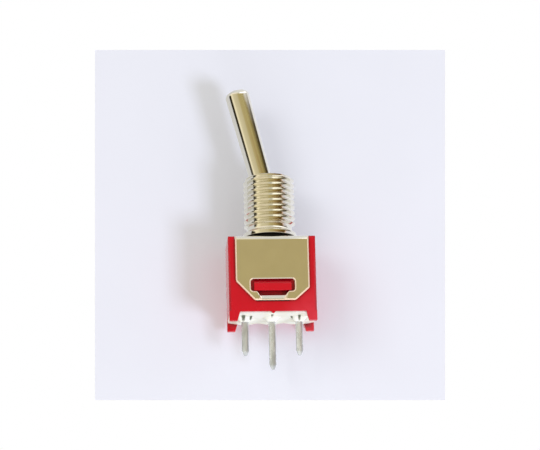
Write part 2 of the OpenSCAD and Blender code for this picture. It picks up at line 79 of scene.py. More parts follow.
MM = 0.001


def linear(hex_colour):
    """An sRGB hex colour as linear red, green, blue and alpha."""
    parts = [int(hex_colour[i:i + 2], 16) / 255 for i in (1, 3, 5)]
    return [p / 12.92 if p <= 0.04045 else ((p + 0.055) / 1.055) ** 2.4 for p in parts] + [1.0]


# Places that the CAD gives -------------------------------------------------

JOINTS = {joint["name"]: joint for joint in frame["joints"]}
MOUNTS = {mount["name"]: mount for mount in frame["record"]["mounts"]}
PIVOT = Vector(JOINTS["lever_swing"]["pos_m"])
REST_TILT = math.radians(JOINTS["lever_swing"]["range_deg"][1]) / 2
CREST_R = MOUNTS["bushing_thread"]["dims"]["r_mm"] * MM
BUSHING_LOW, BUSHING_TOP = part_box("bushing")
CASE_LOW, CASE_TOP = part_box("case")
RESIN_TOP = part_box("sealing_resin")[1]
PIN_PITCH = 2.54 * MM


class SwitchSizes(bpy.types.PropertyGroup):
    """Sizes that the CAD frame does not hold."""

    thread_pitch: bpy.props.FloatProperty(
        name="Thread pitch", description="Rise of the bushing's thread in one turn",
        default=0.529 * MM, unit="LENGTH", precision=6)
    thread_depth: bpy.props.FloatProperty(
        name="Thread depth", description="Height of the thread's crest above its root",
        default=0.31 * MM, unit="LENGTH", precision=6)
    thread_base: bpy.props.FloatProperty(
        name="Thread base", description="Width of the thread at its root",
        default=0.41 * MM, unit="LENGTH", precision=6)
    thread_low: bpy.props.FloatProperty(
        name="Thread start", description="Height above the frame where the thread starts",
        default=1.36 * MM, unit="LENGTH", precision=6)
    mouth_chamfer: bpy.props.FloatProperty(
        name="Mouth chamfer", description="Chamfer round the bushing's mouth",
        default=0.3 * MM, unit="LENGTH", precision=6)
    tip_radius: bpy.props.FloatProperty(
        name="Tip radius", description="Radius of the lever's rounded tip edge",
        default=0.58 * MM, unit="LENGTH", precision=6)
    mould_edge: bpy.props.FloatProperty(
        name="Mould edge", description="Rounding on the moulded case's edges",
        default=0.05 * MM, unit="LENGTH", precision=6)
    sheet_edge: bpy.props.FloatProperty(
        name="Sheet edge", description="Rounding on the pressed frame's edges",
        default=0.13 * MM, unit="LENGTH", precision=6)
    card_size: bpy.props.FloatProperty(
        name="Card size", description="Side of the pale card behind the switch",
        default=32.92 * MM, unit="LENGTH", precision=6)
    card_gap: bpy.props.FloatProperty(
        name="Card gap", description="Gap between the switch's back and the pale card",
        default=0.8 * MM, unit="LENGTH", precision=6)


class SwitchFinishes(bpy.types.PropertyGroup):
    """Colours of the main finishes."""

    case_red: bpy.props.FloatVectorProperty(
        name="Case", description="Moulded red of the case", subtype="COLOR", size=4,
        min=0, max=1, default=linear("#CE0420"))
    nickel: bpy.props.FloatVectorProperty(
        name="Nickel", description="Plating on the bushing, the lever and the frame",
        subtype="COLOR", size=4, min=0, max=1, default=linear("#EFECE0"))
    resin: bpy.props.FloatVectorProperty(
        name="Resin", description="Cast resin round the pins", subtype="COLOR", size=4,
        min=0, max=1, default=linear("#FAFAF5"))
    card: bpy.props.FloatVectorProperty(
        name="Card", description="Pale card under the switch", subtype="COLOR", size=4,
        min=0, max=1, default=linear("#ECEDF8"))


# Modelling helpers -----------------------------------------------------------

def start(operator, name, **settings):
    """Adds a primitive with nothing else selected, and names it."""
    bpy.ops.object.select_all(action="DESELECT")
    operator(**settings)
    piece = bpy.context.object
    piece.name = piece.data.name = name
    return piece


def alone(piece):
    """Leaves one piece selected and active, in object mode."""
    if bpy.context.object and bpy.context.object.mode != "OBJECT":
        bpy.ops.object.mode_set(mode="OBJECT")
    bpy.ops.object.select_all(action="DESELECT")
    piece.select_set(True)
    bpy.context.view_layer.objects.active = piece


def edit(piece):
    """Opens a piece in edit mode with nothing selected."""
    alone(piece)
    bpy.ops.object.mode_set(mode="EDIT")
    bpy.ops.mesh.select_all(action="DESELECT")


def pick(piece, kind, test):
    """Selects the verts, edges or faces whose middle, in the row frame, passes the test."""
    bpy.ops.mesh.select_mode(type={"verts": "VERT", "edges": "EDGE", "faces": "FACE"}[kind])
    mesh = bmesh.from_edit_mesh(piece.data)
    for element in getattr(mesh, kind):
        if kind == "verts":
            middle = element.co
        elif kind == "edges":
            middle = (element.verts[0].co + element.verts[1].co) / 2
        else:
            middle = element.calc_center_median()
        element.select_set(bool(test(piece.matrix_world @ middle, element)))
    mesh.select_flush_mode()
    bmesh.update_edit_mesh(piece.data)


def apply_modifier(piece, kind, **settings):
    """Adds a modifier with its settings and applies it."""
    alone(piece)
    modifier = piece.modifiers.new(kind.title(), kind)
    for key, value in settings.items():
        setattr(modifier, key, value)
    bpy.ops.object.modifier_apply(modifier=modifier.name)


def carve(piece, tool):
    """Cuts a second solid out of a piece, and removes it."""
    apply_modifier(piece, "BOOLEAN", object=tool, operation="DIFFERENCE", solver="EXACT")
    bpy.data.objects.remove(tool)


def settle(piece, angle):
    """Puts a piece's place into its mesh, turns its faces outwards and smooths it by angle."""
    edit(piece)
    bpy.ops.mesh.select_all(action="SELECT")
    bpy.ops.mesh.remove_doubles(threshold=0.0005 * MM)
    bpy.ops.mesh.normals_make_consistent(inside=False)
    alone(piece)
    bpy.ops.object.transform_apply(location=True, rotation=True, scale=True)
    bpy.ops.object.shade_smooth_by_angle(angle=math.radians(angle))


def turned(name, profile, steps=96):
    """A turned solid: a disc at the profile's first (radius, height), drawn on through the rest.

    A profile that comes back to its first point makes a ring, whose first disc is taken out."""
    ring = profile[0] == profile[-1]
    piece = start(bpy.ops.mesh.primitive_circle_add, name, vertices=steps, radius=profile[0][0],
                  fill_type="NOTHING" if ring else "NGON", location=(0, 0, profile[0][1]))
    bpy.ops.object.mode_set(mode="EDIT")
    bpy.ops.mesh.select_all(action="SELECT")
    for (r_a, z_a), (r_b, z_b) in zip(profile, profile[1:]):
        if ring:
            bpy.ops.mesh.extrude_edges_move(TRANSFORM_OT_translate={"value": (0, 0, z_b - z_a)})
        else:
            bpy.ops.mesh.extrude_region_move(TRANSFORM_OT_translate={"value": (0, 0, z_b - z_a)})
        bpy.ops.transform.resize(value=(r_b / r_a, r_b / r_a, 1), center_override=(0, 0, z_b))
    return piece


def arc(centre, radius, first, last, count):
    """Points (radius, height) along an arc of a profile, from one angle to another in degrees."""
    return [(centre[0] + radius * math.cos(math.radians(first + (last - first) * i / count)),
             centre[1] + radius * math.sin(math.radians(first + (last - first) * i / count)))
            for i in range(count + 1)]


def softened(name, node, width, sliver=0.01 * MM, chosen=lambda at, edge: True):
    """A copy of a CAD node with its loose triangles merged and its chosen sharp edges rounded.

    Slivers shorter than the given length are merged away first."""
    piece = bpy.data.objects.new(name, frame["nodes"][node].data.copy())
    bpy.context.scene.collection.objects.link(piece)
    piece.data.materials.clear()
    edit(piece)
    bpy.ops.mesh.select_all(action="SELECT")
    bpy.ops.mesh.remove_doubles(threshold=0.001 * MM)
    bpy.ops.mesh.dissolve_limited(angle_limit=math.radians(1))
    bpy.ops.mesh.remove_doubles(threshold=sliver)
    bpy.ops.mesh.dissolve_limited(angle_limit=math.radians(1))
    pick(piece, "edges", lambda at, edge: edge.calc_face_angle(0) > math.radians(28)
         and chosen(at, edge))
    bpy.ops.mesh.bevel(offset=width, segments=3, affect="EDGES", clamp_overlap=False)
    alone(piece)
    bpy.ops.object.shade_smooth_by_angle(angle=math.radians(40))
    # the broad flat faces keep their own normals, so that only the rounded edges turn the light
    apply_modifier(piece, "WEIGHTED_NORMAL", mode="FACE_AREA", weight=100, keep_sharp=True)
    return piece


def place(piece, body, slot, material, *nodes):
    """Rides a finished piece on its body, in place of its CAD nodes, with its material."""
    piece.data.materials.clear()
    piece.data.materials.append(material)
    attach(piece, body)
    if nodes:
        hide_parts(*nodes)


# Material helpers --------------------------------------------------------------

def add(tree, kind, inputs=None, stops=None, **settings):
    """Adds a node with its settings, its inputs as values or links, and its ramp's stops."""
    node = tree.nodes.new(kind)
    for key, value in settings.items():
        setattr(node, key, value)
    for key, value in (inputs or {}).items():
        if isinstance(value, bpy.types.NodeSocket):
            tree.links.new(value, node.inputs[key])
        else:
            node.inputs[key].default_value = value
    if stops:
        elements = node.color_ramp.elements
        while len(elements) < len(stops):
            elements.new(0.5)
        for element, (position, colour) in zip(elements, stops):
            element.position = position
            element.color = linear(colour) if isinstance(colour, str) else [colour] * 3 + [1]
    return node


def material(name):
    """A new material with its nodes cleared, and its tree."""
    made = bpy.data.materials.new(name)
    made.use_nodes = True
    made.node_tree.nodes.clear()
    return made, made.node_tree


def surface(tree, **inputs):
    """The Principled shader at the end of a tree; a double underscore in a key is a space."""
    shader = add(tree, "ShaderNodeBsdfPrincipled",
                 {key.replace("__", " "): value for key, value in inputs.items()})
    add(tree, "ShaderNodeOutputMaterial", {"Surface": shader.outputs[0]})


def nickel_finish(name, tilt, grain, rough):
    """Bright nickel over turned brass: a warm mirror with faint rings from the lathe tool."""
    made, tree = material(name)
    finishes = bpy.context.scene.switch_finishes
    place_at = add(tree, "ShaderNodeTexCoord")
    # the rings follow the turned axis, so the pattern is turned back by the piece's lean
    along = add(tree, "ShaderNodeMapping", {
        "Vector": place_at.outputs["Object"], "Rotation": (0, -tilt, 0)}, vector_type="TEXTURE")
    # tool marks are a few hundredths of a millimetre apart, drawn at 0.09 mm so that they show
    rings = add(tree, "ShaderNodeTexWave", {
        "Vector": along.outputs[0], "Scale": math.pi / 10 / (0.09 * MM),
        "Distortion": 0.6, "Detail": 2.0, "Detail Scale": 1.5},
        wave_type="BANDS", bands_direction="Z", wave_profile="SIN")
    haze = add(tree, "ShaderNodeTexNoise", {
        "Vector": place_at.outputs["Object"], "Scale": 1 / (0.9 * MM), "Detail": 3.0})
    tone = add(tree, "ShaderNodeValToRGB", {"Fac": haze.outputs["Fac"]},
               stops=[(0.35, 0.965), (0.7, 1.0)])
    colour = add(tree, "ShaderNodeMix", {
        "Factor": 1.0, 6: finishes.nickel, 7: tone.outputs["Color"]},
        data_type="RGBA", blend_type="MULTIPLY")
    gloss = add(tree, "ShaderNodeMapRange", {
        "Value": haze.outputs["Fac"], "To Min": rough * 0.85, "To Max": rough * 1.25})
    bump = add(tree, "ShaderNodeBump", {
        "Height": rings.outputs["Fac"], "Strength": grain, "Distance": 0.004 * MM})
    surface(tree, Base__Color=colour.outputs[2], Metallic=1.0, Roughness=gloss.outputs[0],
            Normal=bump.outputs[0])
    return made


def pressed_finish():
    """Nickel-plated steel strip, rolled and blanked: a flat mirror with faint rolling lines."""
    made, tree = material("nickel_plated_steel_rolled")
    finishes = bpy.context.scene.switch_finishes
    place_at = add(tree, "ShaderNodeTexCoord")
    stretched = add(tree, "ShaderNodeMapping", {
        "Vector": place_at.outputs["Object"], "Scale": (1.0, 1.0, 0.12)})
    # rolling lines, about 0.15 mm apart across the strip
    lines = add(tree, "ShaderNodeTexNoise", {
        "Vector": stretched.outputs[0], "Scale": 1 / (0.15 * MM), "Detail": 4.0,
        "Roughness": 0.6})
    haze = add(tree, "ShaderNodeTexNoise", {
        "Vector": place_at.outputs["Object"], "Scale": 1 / (1.6 * MM), "Detail": 3.0})
    tone = add(tree, "ShaderNodeValToRGB", {"Fac": haze.outputs["Fac"]},
               stops=[(0.3, 0.955), (0.7, 1.0)])
    colour = add(tree, "ShaderNodeMix", {
        "Factor": 1.0, 6: finishes.nickel, 7: tone.outputs["Color"]},
        data_type="RGBA", blend_type="MULTIPLY")
    gloss = add(tree, "ShaderNodeMapRange", {
        "Value": lines.outputs["Fac"], "To Min": 0.12, "To Max": 0.24})
    bump = add(tree, "ShaderNodeBump", {
        "Height": lines.outputs["Fac"], "Strength": 0.12, "Distance": 0.004 * MM})
    surface(tree, Base__Color=colour.outputs[2], Metallic=1.0, Roughness=gloss.outputs[0],
            Normal=bump.outputs[0])
    return made


def sheared_painted_glint_finish():
    """The strip's blanked edges: satin from the die, and painted a bright peach as a painted highlight, so they
    glow where the flat is a mirror.
    """
    made, tree = material("plated_steel_sheared")
    place_at = add(tree, "ShaderNodeTexCoord")
    # the die drags fine lines through the thickness, about 0.06 mm apart
    drag = add(tree, "ShaderNodeTexNoise", {
        "Vector": place_at.outputs["Object"], "Scale": 1 / (0.06 * MM), "Detail": 2.0})
    colour = add(tree, "ShaderNodeValToRGB", {"Fac": drag.outputs["Fac"]},
                 stops=[(0.3, "#EFD2B6"), (0.65, "#FFEAD4")])
    gloss = add(tree, "ShaderNodeMapRange", {
        "Value": drag.outputs["Fac"], "To Min": 0.3, "To Max": 0.45})
    bump = add(tree, "ShaderNodeBump", {
        "Height": drag.outputs["Fac"], "Strength": 0.2, "Distance": 0.004 * MM})
    surface(tree, Base__Color=colour.outputs["Color"], Metallic=0.25,
            Roughness=gloss.outputs[0], Normal=bump.outputs[0])
    return made


def moulded_red_finish():
    """Red polyester, injection moulded: a saturated body under a soft gloss, with a painted sheen at one end and
    painted shade in its seams.
    """
    made, tree = material("red_polyester_moulded")
    finishes = bpy.context.scene.switch_finishes
    place_at = add(tree, "ShaderNodeTexCoord")
    flow = add(tree, "ShaderNodeTexNoise", {
        "Vector": place_at.outputs["Object"], "Scale": 1 / (2.2 * MM), "Detail": 3.0,
        "Distortion": 0.8})
    tone = add(tree, "ShaderNodeValToRGB", {"Fac": flow.outputs["Fac"]},
               stops=[(0.3, 0.93), (0.65, 1.0)])
    colour = add(tree, "ShaderNodeMix", {
        "Factor": 1.0, 6: finishes.case_red, 7: tone.outputs["Color"]},
        data_type="RGBA", blend_type="MULTIPLY")
    # painted sheen: round the lower end on the right the red is painted paler, as a soft reflection, over about 4
    # mm, with a broken edge
    from_corner = add(tree, "ShaderNodeVectorMath", {
        0: place_at.outputs["Object"], 1: Vector((CASE_TOP.x, 0, CASE_LOW.z))},
        operation="DISTANCE")
    reach = add(tree, "ShaderNodeMapRange", {
        "Value": from_corner.outputs["Value"], "From Min": 1.6 * MM,
        "From Max": 4.7 * MM, "To Min": 0.72, "To Max": 0.0}, interpolation_type="SMOOTHSTEP")
    ragged = add(tree, "ShaderNodeMath", {
        0: reach.outputs[0], 1: flow.outputs["Fac"]}, operation="MULTIPLY")
    painted_sheen = add(tree, "ShaderNodeMix", {
        "Factor": ragged.outputs[0], 6: colour.outputs[2], 7: linear("#EE5A6C")},
        data_type="RGBA")
    # painted shade: the seams are painted darker within about 0.7 mm of whatever stands on the moulding, where its
    # shadow falls
    seam = add(tree, "ShaderNodeAmbientOcclusion", {"Distance": 0.7 * MM}, samples=8)
    painted_seam_shade = add(tree, "ShaderNodeValToRGB", {"Fac": seam.outputs["AO"]},
               stops=[(0.4, 0.42), (0.93, 1.0)])
    with_seam_shade = add(tree, "ShaderNodeMix", {
        "Factor": 1.0, 6: painted_sheen.outputs[2], 7: painted_seam_shade.outputs["Color"]},
        data_type="RGBA", blend_type="MULTIPLY")
    # spark-eroded mould faces leave a fine orange peel, about 0.12 mm
    peel = add(tree, "ShaderNodeTexNoise", {
        "Vector": place_at.outputs["Object"], "Scale": 1 / (0.12 * MM), "Detail": 2.0})
    gloss = add(tree, "ShaderNodeMapRange", {
        "Value": flow.outputs["Fac"], "To Min": 0.2, "To Max": 0.32})
    bump = add(tree, "ShaderNodeBump", {
        "Height": peel.outputs["Fac"], "Strength": 0.25, "Distance": 0.006 * MM})
    surface(tree, Base__Color=with_seam_shade.outputs[2], Roughness=gloss.outputs[0],
            Subsurface__Weight=0.06, Subsurface__Radius=(0.6, 0.08, 0.06),
            Subsurface__Scale=0.5 * MM, Specular__IOR__Level=0.36, IOR=1.5,
            Normal=bump.outputs[0])
    return made


def resin_finish():
    """Cast epoxy, off-white: glossy and a little translucent, with burst bubbles as pits."""
    made, tree = material("white_epoxy_cast")
    finishes = bpy.context.scene.switch_finishes
    place_at = add(tree, "ShaderNodeTexCoord")
    # fine pits from burst bubbles, one to a cell of about 0.7 mm; each is dented by the bump and painted darker as
    # shade in the pit
    cells = add(tree, "ShaderNodeTexVoronoi", {
        "Vector": place_at.outputs["Object"], "Scale": 1 / (0.7 * MM), "Randomness": 1.0})
    pits = add(tree, "ShaderNodeValToRGB", {"Fac": cells.outputs["Distance"]},
               stops=[(0.03, 0.0), (0.09, 1.0)])
    cloud = add(tree, "ShaderNodeTexNoise", {
        "Vector": place_at.outputs["Object"], "Scale": 1 / (1.4 * MM), "Detail": 3.0})
    tone = add(tree, "ShaderNodeValToRGB", {"Fac": cloud.outputs["Fac"]},
               stops=[(0.35, "#F4F4EC"), (0.6, "#FFFFFF")])
    body = add(tree, "ShaderNodeMix", {
        "Factor": 1.0, 6: finishes.resin, 7: tone.outputs["Color"]},
        data_type="RGBA", blend_type="MULTIPLY")
    pit_shaded = add(tree, "ShaderNodeMix", {
        "Factor": pits.outputs["Color"], 6: linear("#B4B0A0"), 7: body.outputs[2]},
        data_type="RGBA")
    # painted shade in the larger voids, broken up at about 0.1 mm
    marked = add(tree, "ShaderNodeAttribute", attribute_name="grime")
    ragged = add(tree, "ShaderNodeTexNoise", {
        "Vector": place_at.outputs["Object"], "Scale": 1 / (0.1 * MM), "Detail": 2.0})
    broken = add(tree, "ShaderNodeMath", {
        0: marked.outputs["Fac"], 1: ragged.outputs["Fac"]}, operation="MULTIPLY")
    void_shade_ramp = add(tree, "ShaderNodeValToRGB", {"Fac": broken.outputs[0]},
                stops=[(0.08, 0.0), (0.3, 1.0)])
    colour = add(tree, "ShaderNodeMix", {
        "Factor": void_shade_ramp.outputs["Color"], 6: pit_shaded.outputs[2], 7: linear("#5E6450")},
        data_type="RGBA")
    bump = add(tree, "ShaderNodeBump", {
        "Height": pits.outputs["Color"], "Strength": 0.4, "Distance": 0.03 * MM})
    surface(tree, Base__Color=colour.outputs[2], Roughness=0.22,
            Subsurface__Weight=0.2, Subsurface__Radius=(1.0, 0.9, 0.75),
            Subsurface__Scale=0.3 * MM, IOR=1.54, Normal=bump.outputs[0])
    return made


def tinned_finish():
    """Hot-tinned brass: cool grey with brighter runs of solder, a little streaked along the pin."""
    made, tree = material("tinned_brass_drawn")
    place_at = add(tree, "ShaderNodeTexCoord")
    stretched = add(tree, "ShaderNodeMapping", {
        "Vector": place_at.outputs["Object"], "Scale": (1.0, 1.0, 0.25)})
    # the tin's streaks are a few tenths of a millimetre wide
    streaks = add(tree, "ShaderNodeTexNoise", {
        "Vector": stretched.outputs[0], "Scale": 1 / (0.3 * MM), "Detail": 4.0})
    colour = add(tree, "ShaderNodeValToRGB", {"Fac": streaks.outputs["Fac"]},
                 stops=[(0.3, "#C2C8CE"), (0.7, "#EAF0F6")])
    gloss = add(tree, "ShaderNodeMapRange", {
        "Value": streaks.outputs["Fac"], "To Min": 0.18, "To Max": 0.34})
    bump = add(tree, "ShaderNodeBump", {
        "Height": streaks.outputs["Fac"], "Strength": 0.25, "Distance": 0.01 * MM})
    surface(tree, Base__Color=colour.outputs["Color"], Metallic=0.65,
            Roughness=gloss.outputs[0], Normal=bump.outputs[0])
    return made


def inner_finish(name, dark, light, metallic, rough, grain_mm):
    """A plain inner metal or plastic, mottled between two tones at its grain's size."""
    made, tree = material(name)
    place_at = add(tree, "ShaderNodeTexCoord")
    mottle = add(tree, "ShaderNodeTexNoise", {
        "Vector": place_at.outputs["Object"], "Scale": 1 / (grain_mm * MM), "Detail": 4.0})
    colour = add(tree, "ShaderNodeValToRGB", {"Fac": mottle.outputs["Fac"]},
                 stops=[(0.3, dark), (0.7, light)])
    gloss = add(tree, "ShaderNodeMapRange", {
        "Value": mottle.outputs["Fac"], "To Min": rough * 0.8, "To Max": rough * 1.3})
    bump = add(tree, "ShaderNodeBump", {
        "Height": mottle.outputs["Fac"], "Strength": 0.15, "Distance": 0.008 * MM})
    surface(tree, Base__Color=colour.outputs["Color"], Metallic=metallic,
            Roughness=gloss.outputs[0], Normal=bump.outputs[0])
    return made


# Operators -----------------------------------------------------------------------

class SWITCH_OT_stage(bpy.types.Operator):
    """Sets the pale card, the soft lights, the surroundings and the camera"""

    bl_idname = "switch.stage"
    bl_label = "Stage"

    def execute(self, context):
        scene = context.scene
        scene.view_settings.view_transform = "Standard"
        sizes, finishes = scene.switch_sizes, scene.switch_finishes

        # the camera stands in front, a little to the left and below, and leans by its roll
        turn, height, roll = math.radians(-3.6), math.radians(-13.5), math.radians(1.43)
        distance, aim_up, aim_left = 300 * MM, 6.08 * MM, 0.105 * MM
        back = Vector((math.sin(turn) * math.cos(height), -math.cos(turn) * math.cos(height),
                       math.sin(height)))
        level = Vector((math.cos(turn), math.sin(turn), 0))
        upright = back.cross(level)
        right = level * math.cos(roll) - upright * math.sin(roll)
        up = upright * math.cos(roll) + level * math.sin(roll)
        middle = Vector((0, 0, -4.6 * MM))
        stand = middle + back * distance
        aim = middle + up * aim_up - right * aim_left
        look = (stand - aim).normalized()
        side = (right - look * right.dot(look)).normalized()
        bpy.ops.object.camera_add(location=stand)
        camera = context.object
        camera.name = "camera"
        camera.matrix_world = Matrix.Translation(stand) @ Matrix(
            (side, look.cross(side), look)).transposed().to_4x4()
        camera.data.lens = 212.7
        camera.data.sensor_width = 36
        camera.data.clip_start, camera.data.clip_end = 0.01, 10
        scene.camera = camera

        # the card stands just behind the switch; its corners are drawn out until the camera
        # sees a square
        card_y = CAD_BOX[1].y + sizes.card_gap
        card = start(bpy.ops.mesh.primitive_plane_add, "card", size=sizes.card_size,
                     location=(0, card_y, 0), rotation=(math.radians(90), 0, 0))
        half = sizes.card_size / 2
        edit(card)
        for across_by, up_by in ((-1, -1), (1, -1), (-1, 1), (1, 1)):
            corner = Vector((across_by * half, card_y, up_by * half))
            seen = aim + side * across_by * half + look.cross(side) * up_by * half
            target = stand + (seen - stand) * ((card_y - stand.y) / (seen - stand).y)
            pick(card, "verts", lambda at, vert: (at - corner).length < 0.1 * MM)
            bpy.ops.transform.translate(value=target - corner)
        alone(card)
        bpy.ops.object.transform_apply(location=True, rotation=True, scale=True)
        made, tree = material("matt_white_card")
        place_at = add(tree, "ShaderNodeTexCoord")
        cloud = add(tree, "ShaderNodeTexNoise", {
            "Vector": place_at.outputs["Object"], "Scale": 1 / (9 * MM), "Detail": 2.0})
        tone = add(tree, "ShaderNodeValToRGB", {"Fac": cloud.outputs["Fac"]},
                   stops=[(0.3, 0.985), (0.7, 1.0)])
        colour = add(tree, "ShaderNodeMix", {
            "Factor": 1.0, 6: finishes.card, 7: tone.outputs["Color"]},
            data_type="RGBA", blend_type="MULTIPLY")
        paper = add(tree, "ShaderNodeBsdfDiffuse", {"Color": colour.outputs[2]})
        # from behind, the card is clear, so that the switch's back shows in other views
        clear = add(tree, "ShaderNodeBsdfTransparent")
        facing = add(tree, "ShaderNodeNewGeometry")
        one_sided = add(tree, "ShaderNodeMixShader", {
            0: facing.outputs["Backfacing"], 1: paper.outputs[0], 2: clear.outputs[0]})
        add(tree, "ShaderNodeOutputMaterial", {"Surface": one_sided.outputs[0]})
        card.data.materials.append(made)
        # it only receives light and shadow, so the switch's back is lit as well
        card.visible_glossy = card.visible_diffuse = card.visible_shadow = False

        lamp_distance = 0.5
        # a slightly cool key from the lower right gives the card's shadow; the others fill in
        # from the upper left, from the pins' side and from behind
        for name, way, size, power, colour in (
                ("key", (0.55, -0.72, -0.4), 0.12, 0.97, (0.79, 0.83, 1.0)),
                ("fill", (-0.6, -0.75, 0.3), 0.25, 0.5, (1.0, 1.0, 1.0)),
                ("low", (0.1, -0.25, -0.96), 0.3, 0.8, (1.0, 1.0, 1.0)),
                ("back", (0.1, 0.85, 0.5), 0.3, 1.0, (1.0, 1.0, 1.0))):
            way = Vector(way).normalized()
            bpy.ops.object.light_add(type="AREA", location=way * lamp_distance)
            lamp = context.object
            lamp.name = name
            lamp.data.size = size
            lamp.data.color = colour
            lamp.data.energy = power
            lamp.rotation_euler = way.to_track_quat("Z", "Y").to_euler()
            lamp.visible_glossy = False

        # surroundings: plain white light, and a dim room that only the metal mirrors
        world = bpy.data.worlds.new("soft_room")
        scene.world = world
        world.use_nodes = True
        tree = world.node_tree
        tree.nodes.clear()
        way = add(tree, "ShaderNodeTexCoord")
        axes = add(tree, "ShaderNodeSeparateXYZ", {"Vector": way.outputs["Generated"]})
        sideways = add(tree, "ShaderNodeMapRange", {
            "Value": axes.outputs["X"], "From Min": -1, "From Max": 1})
        # from left to right: a dark edge, a pale strip, the dim olive room, a brown part, daylight
        room = add(tree, "ShaderNodeValToRGB", {"Fac": sideways.outputs[0]}, stops=[
            (0.0, "#2A2414"), (0.034, "#2A2414"), (0.048, "#FBF0D0"), (0.085, "#FBF0D0"),
            (0.15, "#DCD1B0"), (0.42, "#CBBF9A"), (0.49, "#BDAE7C"), (0.58, "#B8A776"),
            (0.68, "#A98F5E"), (0.77, "#90703F"), (0.86, "#684A1C"), (0.94, "#5C4018"),
            (0.955, "#F4CDAC"), (0.972, "#E2E0EC"), (1.0, "#E2E0EC")])
        # a little higher, the olive runs on to a dark doorway on the right
        upper = add(tree, "ShaderNodeValToRGB", {"Fac": sideways.outputs[0]}, stops=[
            (0.5, "#BBAC7A"), (0.76, "#B8AA74"), (0.84, "#A0905C"), (0.9, "#867648"),
            (0.935, "#4A4028"), (1.0, "#4A4028")])
        high = add(tree, "ShaderNodeMapRange", {
            "Value": axes.outputs["Z"], "From Min": 0.29, "From Max": 0.35})
        to_right = add(tree, "ShaderNodeMapRange", {
            "Value": axes.outputs["X"], "From Min": 0.0, "From Max": 0.1,
            "To Max": high.outputs[0]})
        walls = add(tree, "ShaderNodeMix", {
            "Factor": to_right.outputs[0], 6: room.outputs["Color"], 7: upper.outputs["Color"]},
            data_type="RGBA")
        # overhead it is pale, with a bright window to the right
        overhead = add(tree, "ShaderNodeValToRGB", {"Fac": sideways.outputs[0]}, stops=[
            (0.3, "#FFF4E0"), (0.46, "#F4ECD8"), (0.52, "#E2E2DC"), (0.6, "#E2E2DC"),
            (0.64, 1.6), (0.88, 1.6), (0.93, "#E4E0DC"), (1.0, "#E4E0DC")])
        ceiling = add(tree, "ShaderNodeMapRange", {
            "Value": axes.outputs["Z"], "From Min": 0.74, "From Max": 0.86})
        roof = add(tree, "ShaderNodeMix", {
            "Factor": ceiling.outputs[0], 6: overhead.outputs["Color"], 7: linear("#E6E6E6")},
            data_type="RGBA")
        above = add(tree, "ShaderNodeMapRange", {
            "Value": axes.outputs["Z"], "From Min": 0.49, "From Max": 0.54},
            interpolation_type="SMOOTHSTEP")
        with_top = add(tree, "ShaderNodeMix", {
            "Factor": above.outputs[0], 6: walls.outputs[2], 7: roof.outputs[2]},
            data_type="RGBA")
        below = add(tree, "ShaderNodeMapRange", {
            "Value": axes.outputs["Z"], "From Min": 0.02, "From Max": -0.34},
            interpolation_type="SMOOTHSTEP")
        with_foot = add(tree, "ShaderNodeMix", {
            "Factor": below.outputs[0], 6: with_top.outputs[2], 7: linear("#F8F3EA")},
            data_type="RGBA")
        # round behind is the card, in shade on the left; beside the doorway it starts a little
        # further round
        card_there = add(tree, "ShaderNodeValToRGB", {"Fac": sideways.outputs[0]}, stops=[
            (0.35, "#DADADC"), (0.6, "#F0F1F8")])
        shifted = add(tree, "ShaderNodeMath", {
            0: to_right.outputs[0], 1: -0.25, 2: axes.outputs["Y"]}, operation="MULTIPLY_ADD")
        behind = add(tree, "ShaderNodeMapRange", {
            "Value": shifted.outputs[0], "From Min": 0.0, "From Max": 0.03})
        mirrored = add(tree, "ShaderNodeMix", {
            "Factor": behind.outputs[0], 6: with_foot.outputs[2],
            7: card_there.outputs["Color"]}, data_type="RGBA")
        ray = add(tree, "ShaderNodeLightPath")
        daylight = add(tree, "ShaderNodeBackground", {
            "Color": linear("#FFFDF1"), "Strength": 0.6})
        seen = add(tree, "ShaderNodeBackground", {"Color": linear("#FFFFFF"), "Strength": 1.0})
        shine = add(tree, "ShaderNodeBackground", {
            "Color": mirrored.outputs[2], "Strength": 1.0})
        plain = add(tree, "ShaderNodeMixShader", {
            0: ray.outputs["Is Glossy Ray"], 1: daylight.outputs[0], 2: shine.outputs[0]})
        clear_ray = add(tree, "ShaderNodeMath", {
            0: ray.outputs["Is Camera Ray"], 1: ray.outputs["Is Transmission Ray"]},
            operation="MAXIMUM")
        whole = add(tree, "ShaderNodeMixShader", {
            0: clear_ray.outputs[0], 1: plain.outputs[0], 2: seen.outputs[0]})
        add(tree, "ShaderNodeOutputWorld", {"Surface": whole.outputs[0]})
        return {"FINISHED"}


